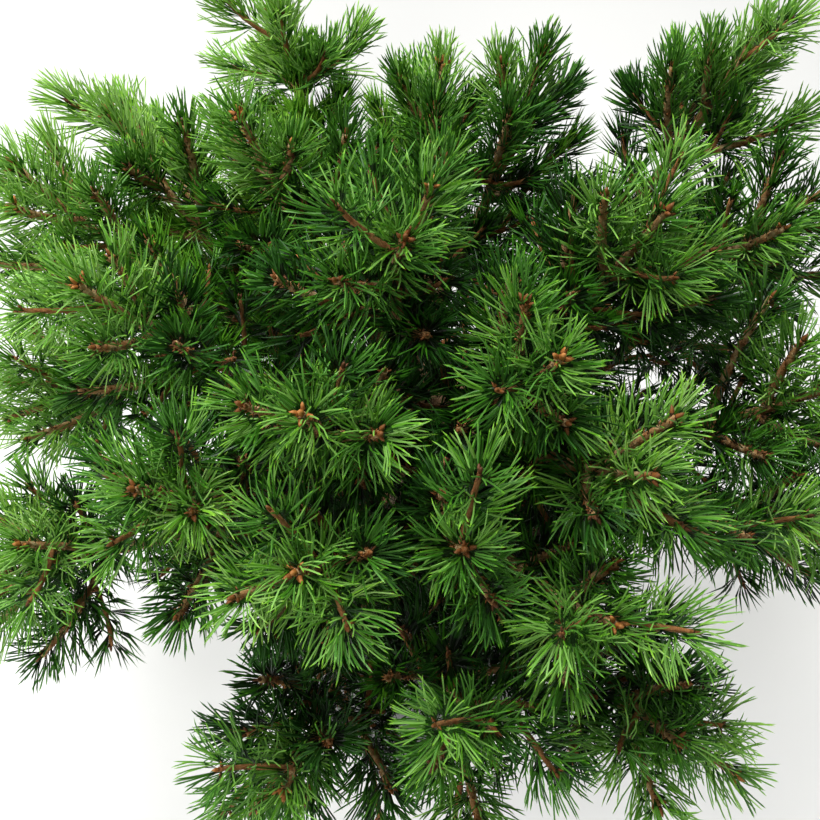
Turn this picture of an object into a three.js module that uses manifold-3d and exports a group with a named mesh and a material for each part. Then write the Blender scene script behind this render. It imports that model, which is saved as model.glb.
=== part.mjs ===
// A dwarf Japanese white pine in a plain round pot, in millimetres, with +Z up.
// The origin is the centre of the pot's flat underside.
// A short leaning trunk carries whorls of boughs that curve up to the light.
// Each bough, and the trunk's tip, carries one mass of needles: a stem whose side shoots
// branch by a seeded rule, with sprays of needles round the end of each shoot.

import * as THREE from 'three';
import { mergeVertices } from 'three/addons/utils/BufferGeometryUtils.js';
import Module from 'manifold-3d';

const wasm = await Module();
wasm.setup();

// Driving sizes
const POT_HEIGHT = 190;
const POT_TOP_RADIUS = 102.5;
const POT_BASE_RADIUS = 82.5;
const POT_WALL = 2.4;
const POT_FLOOR = 3;
const RIM_HEIGHT = 18;
const RIM_OVERHANG = 4;
const RIM_ROUND = 2;
const LIP_ROUND = 1;
const POT_SIDES = 32;
const SOIL_LEVEL = 175;
const CLEARANCE = 0.3;

const TRUNK_HEIGHT = 185;
const TRUNK_RADIUS = 10.5;
const TRUNK_TIP_RADIUS = 3.6;
const ROOT_FLARE = 6.5;
const FLARE_FADE = 12;
const TRUNK_FOOT = [3, 4];
const TRUNK_TIP = [-7, -9];
const TRUNK_SIDES = 10;
const TRUNK_STEPS = 10;

// The crown's directions are measured from this point above the soil.
const HUB_HEIGHT = 80;

// Boughs: azimuth from +X and rise above level in degrees, and reach from the hub to the
// leading bud. A bough leaves the trunk at a height above the soil, or its parent bough at
// a share of the parent's length.
const BOUGHS = [
  { name: 'front_left_low', azimuth: 254, rise: 8, reach: 208, from: 34 },
  { name: 'back_low_left', azimuth: 125, rise: -4, reach: 205, from: 36 },
  { name: 'back_low_right', azimuth: 33, rise: -4, reach: 215, from: 40 },
  { name: 'front_right_low', azimuth: 301, rise: 13, reach: 222, from: 44 },
  { name: 'left_tuft', azimuth: 201, rise: 0, reach: 225, from: 48 },
  { name: 'right_face', azimuth: 352, rise: 24, reach: 215, from: 58 },
  { name: 'back_left_outer', azimuth: 142, rise: 30, reach: 222, from: 60 },
  { name: 'back_right_tall', azimuth: 41, rise: 32, reach: 264, from: 66 },
  { name: 'left_low_face', azimuth: 225, rise: 41, reach: 212, from: 70 },
  { name: 'back_centre', azimuth: 85, rise: 31, reach: 192, from: 76 },
  { name: 'front', azimuth: 277, rise: 46, reach: 215, from: 84 },
  { name: 'left_face', azimuth: 182, rise: 42, reach: 200, from: 88 },
  { name: 'back_left_tall', azimuth: 112, rise: 33, reach: 228, from: 94 },
  { name: 'upper_right', azimuth: 10, rise: 54, reach: 190, from: 98 },
  { name: 'mid_left', azimuth: 247, rise: 58, reach: 212, from: 108 },
  { name: 'mid_right', azimuth: 304, rise: 62, reach: 212, from: 120 },
  { name: 'left_low_back', azimuth: 166, rise: -8, reach: 230, parent: 'back_low_left', share: 0.3 },
  { name: 'back_low', azimuth: 86, rise: -2, reach: 205, parent: 'back_low_left', share: 0.22 },
  { name: 'right_low', azimuth: 339, rise: 13, reach: 215, parent: 'right_face', share: 0.3 },
  { name: 'front_low', azimuth: 279, rise: 24, reach: 215, parent: 'front_left_low', share: 0.28 },
  { name: 'front_right', azimuth: 296, rise: 33, reach: 215, parent: 'front', share: 0.3 },
  { name: 'front_left', azimuth: 253, rise: 42, reach: 215, parent: 'front', share: 0.24 },
  { name: 'right_mid', azimuth: 309, rise: 46, reach: 212, parent: 'mid_right', share: 0.26 },
  { name: 'left_back', azimuth: 158, rise: 30, reach: 238, parent: 'back_left_outer', share: 0.34 },
  { name: 'upper_left', azimuth: 140, rise: 58, reach: 195, parent: 'back_left_tall', share: 0.3 },
  { name: 'back_right', azimuth: 67, rise: 36, reach: 204, parent: 'back_centre', share: 0.3 },
  { name: 'right_back', azimuth: 22, rise: 24, reach: 240, parent: 'back_right_tall', share: 0.34 },
];
// The share of the usual length that the side shoots have on the slimmer boughs
const SIDE_SHARES = { back_left_tall: 0.45, back_right_tall: 0.85, back_right: 0.85, upper_left: 0.8 };
const TOP_LEADER = { name: 'top', azimuth: 262, rise: 80, reach: 205 };
const BOUGH_RADIUS = 5;
const FORK_RADIUS = 3.8;
const BOUGH_TIP_RADIUS = 2.8;
const BOUGH_SIDES = 6;
const BOUGH_STEPS = 5;
const BEND_OUT = 0.62;
const BEND_UP = 0.38;
const SAG = 0.05;

// Shoots of one mass: the stem and its whorls of side shoots
const MASS_LENGTH = 92;
const STEM_RADIUS = 2.8;
const SIDE_RADIUS = 2.4;
const CORE_RADIUS = 3.8;
const BUD_RADIUS = 2.6;
const TWIG_SIDES = 3;
const TWIG_TWIST = 35;
const WHORLS = [
  { at: 0.14, count: 3, length: 72, angle: 52 },
  { at: 0.5, count: 2, length: 46, angle: 46 },
];
const WHORL_JITTER = 0.1;
const TURN_JITTER = 0.2;
const ANGLE_JITTER = 10;
const LENGTH_JITTER = 0.3;
const RISE_PULL = 0.35;
const OUTWARD_PULL = 0.45;
const SHORTEN = 0.85;
const SHORTEN_TRIES = 6;
const TESTED_SHARES = [0.35, 0.7, 1];
const SEED = 7;
const SEED_STEP = 17;

// A mass's space is measured from the point at this share of its stem.
const MIDDLE_SHARE = 0.6;

// Needles: each shoot's end is ringed with sprays, tapering from a wide root to a point.
// One spray stands for several bundles of needles.
const SPRAY_LENGTH = 29;
const SPRAY_RINGS = 3;
const SPRAY_RING_STEP = 9;
const SPRAY_ZONE_MOST = 0.9;
const BARE_RING_FROM = 0.4;
const SPRAY_HALF_ROOT = 5;
const SPRAY_TIP_ANGLE = 32;
const SPRAY_BASE_ANGLE = 74;
const SPRAY_CUTS = [1, 0.8, 0.6];
const SPRAY_FREE_FROM = 0.25;
const SPRAY_SPACING = 2.5;
const SPACE_MARGIN = 0.4;
const LIMB_MARGIN = 0.6;
const RIM_MARGIN = 4;

const UP = new THREE.Vector3(0, 0, 1);
const HUB = new THREE.Vector3(0, 0, SOIL_LEVEL + HUB_HEIGHT);

const MATERIALS = {
  pot: new THREE.MeshStandardMaterial({ color: 0x1f2021, roughness: 0.55, metalness: 0 }),
  soil: new THREE.MeshStandardMaterial({ color: 0x3a2a1d, roughness: 1, metalness: 0 }),
  bark: new THREE.MeshStandardMaterial({ color: 0x7a6147, roughness: 0.95, metalness: 0 }),
  needles: new THREE.MeshStandardMaterial({ color: 0x3f7f2a, roughness: 0.6, metalness: 0 }),
};

const radians = THREE.MathUtils.degToRad;

// A repeatable stream of numbers from 0 to 1
function seeded(seed) {
  let state = seed >>> 0;
  return () => {
    state = (state + 0x6d2b79f5) >>> 0;
    let mixed = Math.imul(state ^ (state >>> 15), state | 1);
    mixed ^= mixed + Math.imul(mixed ^ (mixed >>> 7), mixed | 61);
    return ((mixed ^ (mixed >>> 14)) >>> 0) / 4294967296;
  };
}

// A number within a spread centred on nought
function jitter(draw, spread) {
  return spread * (draw() - 0.5);
}

// Paths of the limbs

function crownPoint({ azimuth, rise, reach }) {
  const level = reach * Math.cos(radians(rise));
  return new THREE.Vector3(
    level * Math.cos(radians(azimuth)),
    level * Math.sin(radians(azimuth)),
    reach * Math.sin(radians(rise)),
  ).add(HUB);
}

// A limb runs out first and then turns up to the light.
function limbPath(start, end) {
  const run = end.clone().sub(start);
  const bend = start.clone().add(
    new THREE.Vector3(BEND_OUT * run.x, BEND_OUT * run.y, BEND_UP * run.z - SAG * run.length()),
  );
  return new THREE.QuadraticBezierCurve3(start, bend, end);
}

// The stretch of a path between two shares of it
function stretch(path, from, to) {
  const middle = new THREE.Vector3()
    .addScaledVector(path.v0, (1 - from) * (1 - to))
    .addScaledVector(path.v1, (1 - from) * to + from * (1 - to))
    .addScaledVector(path.v2, from * to);
  return new THREE.QuadraticBezierCurve3(path.getPoint(from), middle, path.getPoint(to));
}

function trunkPath() {
  const [footX, footY] = TRUNK_FOOT;
  const [tipX, tipY] = TRUNK_TIP;
  const foot = SOIL_LEVEL + CLEARANCE;
  return new THREE.QuadraticBezierCurve3(
    new THREE.Vector3(footX, footY, foot),
    new THREE.Vector3(footX, footY, foot + TRUNK_HEIGHT / 2),
    new THREE.Vector3(tipX, tipY, foot + TRUNK_HEIGHT),
  );
}

function trunkRadius(share) {
  const taper = TRUNK_RADIUS + (TRUNK_TIP_RADIUS - TRUNK_RADIUS) * share;
  return taper + ROOT_FLARE * Math.exp(-FLARE_FADE * share);
}

function taper(thick, thin) {
  return (share) => thick + (thin - thick) * share;
}

// The trunk and the boughs, each with its path and its thickness
function planLimbs() {
  const trunk = {
    name: 'trunk',
    path: trunkPath(),
    radius: trunkRadius,
    sides: TRUNK_SIDES,
    steps: TRUNK_STEPS,
  };
  const limbs = [trunk];
  const stems = new Map();
  for (const row of BOUGHS) {
    const start = row.parent
      ? stems.get(row.parent).getPoint(row.share)
      : trunk.path.getPoint(row.from / TRUNK_HEIGHT);
    const whole = limbPath(start, crownPoint(row));
    const end = 1 - MASS_LENGTH / whole.getLength();
    stems.set(row.name, whole);
    limbs.push({
      name: row.name,
      path: stretch(whole, 0, end),
      radius: taper(row.parent ? FORK_RADIUS : BOUGH_RADIUS, BOUGH_TIP_RADIUS),
      sides: BOUGH_SIDES,
      steps: BOUGH_STEPS,
      stem: clearStem(whole, end),
    });
  }
  return limbs;
}

// The rest of a bough's path, begun a clearance beyond the bough's tip
function clearStem(whole, end) {
  return stretch(whole, end + CLEARANCE / whole.getLength(), 1);
}

// The trunk's tip carries on as the stem of the topmost mass.
function topStem(trunk) {
  const onward = trunk.getTangent(1);
  const start = trunk.getPoint(1).addScaledVector(onward, CLEARANCE);
  const end = crownPoint(TOP_LEADER);
  const bend = start.clone().addScaledVector(onward, start.distanceTo(end) / 2);
  return new THREE.QuadraticBezierCurve3(start, bend, end);
}

// Shoots

// Two directions across a path's tangent, steady along it
function across(path, share) {
  const tangent = path.getTangent(share);
  const run = path.v2.clone().sub(path.v0).normalize();
  const guide = Math.abs(run.z) < 0.9 ? UP : new THREE.Vector3(1, 0, 0);
  const side = new THREE.Vector3().crossVectors(guide, tangent).normalize();
  const other = new THREE.Vector3().crossVectors(tangent, side);
  return { tangent, side, other };
}

// A direction at an angle from a path's tangent and a turn round it
function leaning(path, share, angle, turn) {
  const { tangent, side, other } = across(path, share);
  return tangent.multiplyScalar(Math.cos(angle))
    .addScaledVector(side, Math.sin(angle) * Math.cos(turn))
    .addScaledVector(other, Math.sin(angle) * Math.sin(turn));
}

// A side shoot leaves its stem at an angle and turns up and outwards.
function sidePath(stem, share, angle, turn, length) {
  const start = stem.getPoint(share);
  const first = leaning(stem, share, angle, turn);
  const outward = start.clone().sub(HUB).normalize();
  const last = first.clone()
    .addScaledVector(UP, RISE_PULL)
    .addScaledVector(outward, OUTWARD_PULL)
    .normalize();
  const bend = start.clone().addScaledVector(first, length / 2);
  return new THREE.QuadraticBezierCurve3(start, bend, bend.clone().addScaledVector(last, length / 2));
}

function planShoots({ name, stem }, index, isFree) {
  const draw = seeded(SEED + SEED_STEP * index);
  const shoots = [{ path: stem, foot: STEM_RADIUS, turn: 0 }];
  const sideShare = SIDE_SHARES[name] ?? 1;
  let turn = 2 * Math.PI * draw();
  for (const whorl of WHORLS) {
    for (let i = 0; i < whorl.count; i++) {
      turn += (2 * Math.PI / whorl.count) * (1 + jitter(draw, TURN_JITTER));
      const share = whorl.at + jitter(draw, WHORL_JITTER);
      const angle = radians(whorl.angle + jitter(draw, ANGLE_JITTER));
      const length = sideShare * whorl.length * (1 + jitter(draw, LENGTH_JITTER));
      const path = fittedPath(stem, share, angle, turn, length, isFree);
      if (path) shoots.push({ path, foot: SIDE_RADIUS, turn });
    }
    turn += Math.PI / whorl.count;
  }
  return shoots;
}

// A shoot that leaves its mass's space is shortened until it fits, or left out.
function fittedPath(stem, share, angle, turn, length, isFree) {
  for (let i = 0; i < SHORTEN_TRIES; i++) {
    const path = sidePath(stem, share, angle, turn, length * SHORTEN ** i);
    const [low, middle, high] = TESTED_SHARES.map((tested) => path.getPoint(tested));
    if (isFree(low, middle, CORE_RADIUS) && isFree(middle, high, CORE_RADIUS)) return path;
  }
  return null;
}

// Space tests

// The least distance between two straight stretches
function gapBetween(a, b, c, d) {
  const u = b.clone().sub(a);
  const v = d.clone().sub(c);
  const w = a.clone().sub(c);
  const uu = u.dot(u);
  const uv = u.dot(v);
  const vv = v.dot(v);
  const uw = u.dot(w);
  const vw = v.dot(w);
  const flat = uu * vv - uv * uv;
  let s = flat > 1e-9 ? THREE.MathUtils.clamp((uv * vw - vv * uw) / flat, 0, 1) : 0;
  const t = THREE.MathUtils.clamp((uv * s + vw) / vv, 0, 1);
  s = THREE.MathUtils.clamp((uv * t - uw) / uu, 0, 1);
  return w.addScaledVector(u, s).addScaledVector(v, -t).length();
}

// Each mass has the space nearer to its own middle than to any other's.
function nearerToOwn(point, own, others, margin) {
  return others.every((other) => {
    const away = other.clone().sub(own);
    const half = away.length() / 2;
    return point.clone().sub(own).dot(away.normalize()) < half - margin;
  });
}

function clearOfPot(point, margin) {
  const level = Math.hypot(point.x, point.y);
  return point.z > POT_HEIGHT + RIM_MARGIN + margin || level > POT_TOP_RADIUS + RIM_MARGIN + margin;
}

function clearOfLimbs(from, to, limbs, margin) {
  return limbs.every(({ path, radius, steps }) => {
    for (let i = 0; i < steps; i++) {
      const low = i / steps;
      const high = (i + 1) / steps;
      const gap = gapBetween(from, to, path.getPoint(low), path.getPoint(high));
      if (gap < radius(low) + margin) return false;
    }
    return true;
  });
}

function spaceTest(own, others, limbs) {
  return (from, to, radius) => {
    const margin = radius + SPACE_MARGIN;
    return nearerToOwn(from, own, others, margin)
      && nearerToOwn(to, own, others, margin)
      && clearOfPot(to, margin)
      && clearOfLimbs(from, to, limbs, radius + LIMB_MARGIN);
  };
}

// Solids

function toSolid(geometry) {
  const bare = geometry.clone();
  bare.deleteAttribute('normal');
  bare.deleteAttribute('uv');
  const merged = mergeVertices(bare, 1e-4);
  return new wasm.Manifold(new wasm.Mesh({
    numProp: 3,
    vertProperties: new Float32Array(merged.attributes.position.array),
    triVerts: new Uint32Array(merged.index.array),
  }));
}

function toGeometry(solid) {
  const mesh = solid.getMesh();
  const geometry = new THREE.BufferGeometry();
  geometry.setAttribute('position', new THREE.BufferAttribute(mesh.vertProperties, 3));
  geometry.setIndex(new THREE.BufferAttribute(mesh.triVerts, 1));
  geometry.computeVertexNormals();
  return geometry;
}

// A tapering round limb along a path
function limbGeometry(path, radius, sides, steps, extra = 0) {
  const geometry = new THREE.CylinderGeometry(1, 1, 1, sides, steps);
  const position = geometry.attributes.position;
  for (let i = 0; i < position.count; i++) {
    const share = position.getY(i) + 0.5;
    const thick = radius(share) + extra;
    const { side, other } = across(path, share);
    const point = path.getPoint(share)
      .addScaledVector(other, thick * position.getX(i))
      .addScaledVector(side, thick * position.getZ(i));
    position.setXYZ(i, point.x, point.y, point.z);
  }
  return geometry;
}

// The shares of a shoot's path at which its rings stand, with the sprays' rings last
function ringShares(path) {
  const step = Math.min(SPRAY_RING_STEP / path.getLength(), SPRAY_ZONE_MOST / SPRAY_RINGS);
  const bare = 1 - SPRAY_RINGS * step;
  const shares = bare > BARE_RING_FROM ? [0, bare / 2, bare] : [0, bare];
  for (let i = 1; i <= SPRAY_RINGS; i++) shares.push(bare + i * step);
  return shares;
}

// Where the sprays of one mass may go: in its space, and clear of its shoots and each other
function sprayFinder(shoots, isFree) {
  const taken = shoots.flatMap(({ path }) => [0, 0.5].map((share) => (
    { from: path.getPoint(share), to: path.getPoint(share + 0.5), gap: SIDE_RADIUS + SPRAY_SPACING }
  )));
  return (root, direction) => {
    for (const cut of SPRAY_CUTS) {
      const to = root.clone().addScaledVector(direction, SPRAY_LENGTH * cut);
      const from = root.clone().lerp(to, SPRAY_FREE_FROM);
      const crosses = taken.some((other) => gapBetween(from, to, other.from, other.to) < other.gap);
      if (!crosses && isFree(root, to, SPRAY_HALF_ROOT)) {
        taken.push({ from, to, gap: SPRAY_SPACING });
        return to;
      }
    }
    return null;
  };
}

// One shoot: a three-sided twig with a slim core at its end, whose faces rise into sprays
function shootGeometry({ path, foot, turn }, findSpray) {
  const shares = ringShares(path);
  const last = shares.length - 1;
  const firstSpray = last - SPRAY_RINGS;
  const ringRadius = (k) => {
    if (k <= firstSpray) return foot;
    return k < last ? CORE_RADIUS : BUD_RADIUS;
  };
  const points = [];
  const faces = [];
  const addPoint = (point) => points.push(point) - 1;
  const cornerTurn = (k, j) => turn + radians(TWIG_TWIST) * k + (2 * Math.PI * j) / TWIG_SIDES;
  const rings = shares.map((share, k) => {
    const centre = path.getPoint(share);
    return Array.from({ length: TWIG_SIDES }, (unused, j) => {
      const out = leaning(path, share, Math.PI / 2, cornerTurn(k, j));
      return addPoint(centre.clone().addScaledVector(out, ringRadius(k)));
    });
  });
  for (let k = 0; k < last; k++) {
    const rank = (k - firstSpray) / (SPRAY_RINGS - 1);
    const angle = radians(SPRAY_BASE_ANGLE + (SPRAY_TIP_ANGLE - SPRAY_BASE_ANGLE) * rank);
    const share = (shares[k] + shares[k + 1]) / 2;
    for (let j = 0; j < TWIG_SIDES; j++) {
      const next = (j + 1) % TWIG_SIDES;
      const quad = [rings[k][j], rings[k][next], rings[k + 1][next], rings[k + 1][j]];
      const direction = leaning(path, share, angle, cornerTurn(k + 0.5, j + 0.5));
      const point = k < firstSpray ? null : findSpray(path.getPoint(share), direction);
      faces.push(...(point ? pyramid(quad, addPoint(point)) : pairOfFaces(quad)));
    }
  }
  const start = addPoint(path.getPoint(0));
  const tangent = path.getTangent(1);
  const bud = path.getPoint(1);
  const tip = addPoint(findSpray(bud, tangent) ?? bud.addScaledVector(tangent, BUD_RADIUS));
  faces.push(...pyramid(rings[last], tip), ...pyramid([...rings[0]].reverse(), start));
  const geometry = new THREE.BufferGeometry().setFromPoints(points);
  return geometry.setIndex(faces);
}

// Faces from each edge of a loop to a point
function pyramid(loop, point) {
  return loop.flatMap((corner, i) => [corner, loop[(i + 1) % loop.length], point]);
}

function pairOfFaces([a, b, c, d]) {
  return [a, b, c, a, c, d];
}

// The outer shell of the largest piece, with no hollow or scrap that a cut or a join left
function largestPiece(solid) {
  const pieces = solid.decompose();
  return pieces.reduce((best, piece) => (piece.volume() > best.volume() ? piece : best));
}

// Each bough is cut clear of the limbs that were made before it.
function limbSolids(limbs) {
  const grown = [];
  return limbs.map(({ path, radius, sides, steps }) => {
    let solid = toSolid(limbGeometry(path, radius, sides, steps));
    for (const earlier of grown) solid = solid.subtract(earlier);
    grown.push(toSolid(limbGeometry(path, radius, sides, steps, CLEARANCE)));
    return largestPiece(solid);
  });
}

function massSolid(mass, index, isFree) {
  const shoots = planShoots(mass, index, isFree);
  const findSpray = sprayFinder(shoots, isFree);
  const joined = shoots
    .map((shoot) => toSolid(shootGeometry(shoot, findSpray)))
    .reduce((solid, shoot) => solid.add(shoot));
  return largestPiece(joined);
}

// Pot and soil

function innerRadius(height) {
  const share = height / POT_HEIGHT;
  return POT_BASE_RADIUS + (POT_TOP_RADIUS - POT_BASE_RADIUS) * share - POT_WALL;
}

function potGeometry() {
  const under = POT_HEIGHT - RIM_HEIGHT;
  const outer = (height) => innerRadius(height) + POT_WALL;
  const profile = [
    [0, 0],
    [POT_BASE_RADIUS, 0],
    [outer(under), under],
    [outer(under) + RIM_OVERHANG, under + LIP_ROUND],
    [POT_TOP_RADIUS + RIM_OVERHANG, POT_HEIGHT - RIM_ROUND],
    [POT_TOP_RADIUS + RIM_OVERHANG - RIM_ROUND, POT_HEIGHT],
    [innerRadius(POT_HEIGHT) + LIP_ROUND, POT_HEIGHT],
    [innerRadius(POT_HEIGHT), POT_HEIGHT - LIP_ROUND],
    [innerRadius(POT_FLOOR), POT_FLOOR],
    [0, POT_FLOOR],
  ];
  return turned(profile);
}

function soilGeometry() {
  const foot = POT_FLOOR + CLEARANCE;
  return turned([
    [0, foot],
    [innerRadius(foot) - CLEARANCE, foot],
    [innerRadius(SOIL_LEVEL) - CLEARANCE, SOIL_LEVEL],
    [0, SOIL_LEVEL],
  ]);
}

// A profile of radius and height turned round the upright axis
function turned(profile) {
  const points = profile.map(([radius, height]) => new THREE.Vector2(radius, height));
  return new THREE.LatheGeometry(points, POT_SIDES).rotateX(Math.PI / 2);
}

// Assembly

const plant = new THREE.Group();

function addPart(name, geometry, material) {
  const mesh = new THREE.Mesh(geometry, material);
  mesh.name = name;
  plant.add(mesh);
}

addPart('pot', toGeometry(toSolid(potGeometry())), MATERIALS.pot);
addPart('soil', toGeometry(toSolid(soilGeometry())), MATERIALS.soil);

const limbs = planLimbs();
limbSolids(limbs).forEach((solid, i) => {
  const name = limbs[i].name;
  addPart(i === 0 ? name : `bough_${name}`, toGeometry(solid), MATERIALS.bark);
});

const masses = limbs.slice(1).map(({ name, stem }) => ({ name, stem }));
masses.push({ name: TOP_LEADER.name, stem: topStem(limbs[0].path) });

const middles = masses.map(({ stem }) => stem.getPoint(MIDDLE_SHARE));
masses.forEach((mass, i) => {
  const others = middles.filter((middle, j) => j !== i);
  const isFree = spaceTest(middles[i], others, limbs);
  addPart(`needles_${mass.name}`, toGeometry(massSolid(mass, i, isFree)), MATERIALS.needles);
});

export default plant;
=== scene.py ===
"""A dwarf Japanese white pine in a plain black pot, seen from above its front.

The part's limbs and shoots are worked out again here by the same seeded rule, and carried
on to finer twigs, needles in bundles of five, buds and bark. All sizes are in metres.
"""

import itertools
from math import cos, exp, hypot, pi, radians, sin, sqrt, tau

import bpy
import numpy as np
from mathutils import Euler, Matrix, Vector
from mathutils.noise import noise


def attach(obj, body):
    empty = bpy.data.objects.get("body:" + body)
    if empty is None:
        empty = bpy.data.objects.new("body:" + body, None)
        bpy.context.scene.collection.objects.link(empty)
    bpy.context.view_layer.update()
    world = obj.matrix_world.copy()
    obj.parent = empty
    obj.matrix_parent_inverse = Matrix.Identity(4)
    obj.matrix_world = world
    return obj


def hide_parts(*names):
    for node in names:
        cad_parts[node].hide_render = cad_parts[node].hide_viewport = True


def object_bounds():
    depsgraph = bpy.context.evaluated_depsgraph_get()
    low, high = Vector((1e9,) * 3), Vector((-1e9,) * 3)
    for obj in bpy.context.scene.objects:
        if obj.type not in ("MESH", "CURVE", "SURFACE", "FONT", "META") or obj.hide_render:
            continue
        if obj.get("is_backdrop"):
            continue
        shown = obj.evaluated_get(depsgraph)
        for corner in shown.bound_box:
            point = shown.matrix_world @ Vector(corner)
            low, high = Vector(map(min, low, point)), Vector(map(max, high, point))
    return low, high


MM = 0.001
GOLDEN = pi * (3 - sqrt(5))
UP = Vector((0, 0, 1))

# Sizes that the part's source drives, repeated here
POT_HEIGHT = 190 * MM
POT_TOP_RADIUS = 102.5 * MM
POT_BASE_RADIUS = 82.5 * MM
POT_WALL = 2.4 * MM
POT_FLOOR = 3 * MM
RIM_HEIGHT = 18 * MM
RIM_OVERHANG = 4 * MM
SOIL_LEVEL = 175 * MM
CLEARANCE = 0.3 * MM
TRUNK_HEIGHT = 185 * MM
TRUNK_RADIUS = 10.5 * MM
TRUNK_TIP_RADIUS = 3.6 * MM
ROOT_FLARE = 6.5 * MM
FLARE_FADE = 12
TRUNK_FOOT = (3 * MM, 4 * MM)
TRUNK_TIP = (-7 * MM, -9 * MM)
TRUNK_STEPS = 10
HUB = Vector((0, 0, SOIL_LEVEL + 80 * MM))

# name, azimuth and rise in degrees, reach in mm, height on the trunk in mm or parent and share
BOUGHS = (
    ("front_left_low", 254, 8, 208, 34),
    ("back_low_left", 125, -4, 205, 36),
    ("back_low_right", 33, -4, 215, 40),
    ("front_right_low", 301, 13, 222, 44),
    ("left_tuft", 201, 0, 225, 48),
    ("right_face", 352, 24, 215, 58),
    ("back_left_outer", 142, 30, 222, 60),
    ("back_right_tall", 41, 32, 264, 66),
    ("left_low_face", 225, 41, 212, 70),
    ("back_centre", 85, 31, 192, 76),
    ("front", 277, 46, 215, 84),
    ("left_face", 182, 42, 200, 88),
    ("back_left_tall", 112, 33, 228, 94),
    ("upper_right", 10, 54, 190, 98),
    ("mid_left", 247, 58, 212, 108),
    ("mid_right", 304, 62, 212, 120),
    ("left_low_back", 166, -8, 230, ("back_low_left", 0.3)),
    ("back_low", 86, -2, 205, ("back_low_left", 0.22)),
    ("right_low", 339, 13, 215, ("right_face", 0.3)),
    ("front_low", 279, 24, 215, ("front_left_low", 0.28)),
    ("front_right", 296, 33, 215, ("front", 0.3)),
    ("front_left", 253, 42, 215, ("front", 0.24)),
    ("right_mid", 309, 46, 212, ("mid_right", 0.26)),
    ("left_back", 158, 30, 238, ("back_left_outer", 0.34)),
    ("upper_left", 140, 58, 195, ("back_left_tall", 0.3)),
    ("back_right", 67, 36, 204, ("back_centre", 0.3)),
    ("right_back", 22, 24, 240, ("back_right_tall", 0.34)),
)
# The share of the usual length that the side shoots have on the slimmer boughs
SIDE_SHARES = {"back_left_tall": 0.45, "back_right_tall": 0.85, "back_right": 0.85,
               "upper_left": 0.8}
TOP_LEADER = (262, 80, 205)
BOUGH_RADIUS = 5 * MM
FORK_RADIUS = 3.8 * MM
BOUGH_TIP_RADIUS = 2.8 * MM
BOUGH_STEPS = 5
# Steps that a path's length is measured in
ROUGH_STEPS = 12
FINE_STEPS = 24
BOUGH_LENGTH_STEPS = 200
BEND_OUT = 0.62
BEND_UP = 0.38
SAG = 0.05

MASS_LENGTH = 92 * MM
STEM_RADIUS = 2.8 * MM
SIDE_RADIUS = 2.4 * MM
CORE_RADIUS = 3.8 * MM
# Share of the stem, count, length and angle
WHORLS = ((0.14, 3, 72 * MM, 52), (0.5, 2, 46 * MM, 46))
WHORL_JITTER = 0.1
TURN_JITTER = 0.2
ANGLE_JITTER = 10
LENGTH_JITTER = 0.3
RISE_PULL = 0.35
OUTWARD_PULL = 0.45
SHORTEN = 0.85
SHORTEN_TRIES = 6
TESTED_SHARES = (0.35, 0.7, 1)
SEED = 7
SEED_STEP = 17
DETAIL_SEED = 5
MIDDLE_SHARE = 0.6
SPACE_MARGIN = 0.4 * MM
LIMB_MARGIN = 0.6 * MM
RIM_MARGIN = 4 * MM
PARALLEL = 1e-21
STEEP = 0.9

# Height and fineness of the bumps in the bark, and from where on they count as knobs or plates
TWIG_BUMPS = ((0.42 * MM, 620),)
TWIG_KNOBS = ((0.3 * MM, 260),)
BOUGH_BUMPS = ((0.3 * MM, 420), (0.35 * MM, 150))
BOUGH_KNOBS = (1.6 * MM, 95, 0.3)
TRUNK_BUMPS = ((0.4 * MM, 500),)
TRUNK_PLATES = (1.5 * MM, (260, 260, 70), 0.25)
# Their height, count and start
ROOT_SWELLINGS = (3.2 * MM, 4, 1.3)

# Finer twigs, which only this script carries: the shares of the parent that they leave from,
# the tries at each, and their length and angle
STEM_TWIGS = ((0.3, 0.62, 0.8), 4, 36 * MM, 55)
SIDE_TWIGS = ((0.3, 0.5, 0.72), 4, 32 * MM, 54)
BOUGH_TWIGS = ((0.4, 0.55, 0.7, 0.82, 0.94), 4, 38 * MM, 62)
LAST_TWIGS = ((0.4, 0.65), 3, 28 * MM, 52)
TWIG_LENGTH_JITTER = 0.4
FINE_RADIUS = 1.5 * MM
# Radius of a main and a fine shoot at its foot and tip
RADII = {"main": (SIDE_RADIUS, 1.5 * MM), "fine": (FINE_RADIUS, 1.1 * MM)}
FINE_SEED = 1000
TIP_GAP = 27 * MM
ZONE_GAP = 18 * MM
ZONE_DEPTH = 14 * MM
INNER_REACH = 150 * MM
INNER_GAP_SHARE = 0.76

# The finest needles outermost and the plainest deep inside: half their width, how many shades
# darker their root is painted, as painted shade in the bundle's core, and their rings, each at a
# share of the length with how far the curl has gone by then
FINE_NEEDLE = (0.39 * MM, 2, ((0.3, 0), (0.62, 1), (0.9, 2), (1, 2.6)))
PLAIN_NEEDLE = (0.46 * MM, 2, ((0.36, 0), (0.86, 1.4), (1, 2.4)))
HIDDEN_NEEDLE = (0.6 * MM, 1, ((0.45, 0), (1, 1.4)))
HIDDEN_BELOW = 0.05
OPEN_ABOVE = 0.3
NEEDLE_LENGTH = 26 * MM
NEEDLE_LENGTHS = (0.82, 1.08)
# The share of that length that young needles have, and what openness adds to it
YOUNG_LENGTH = 0.88
OPEN_LENGTH = 0.14
# The curl of a whole bundle along its shoot and sideways, and of each needle by itself
CURL_ALONG = (0.15, 0.16)
CURL_SIDEWAYS = 0.17
CURL_OUT = (0.03, 0.11)
CURL_LOOSE = 0.06
BUNDLE_OF = 5
BUNDLE_SPREAD = (10, 4.5)
BUNDLE_TURN_JITTER = 0.25
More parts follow.
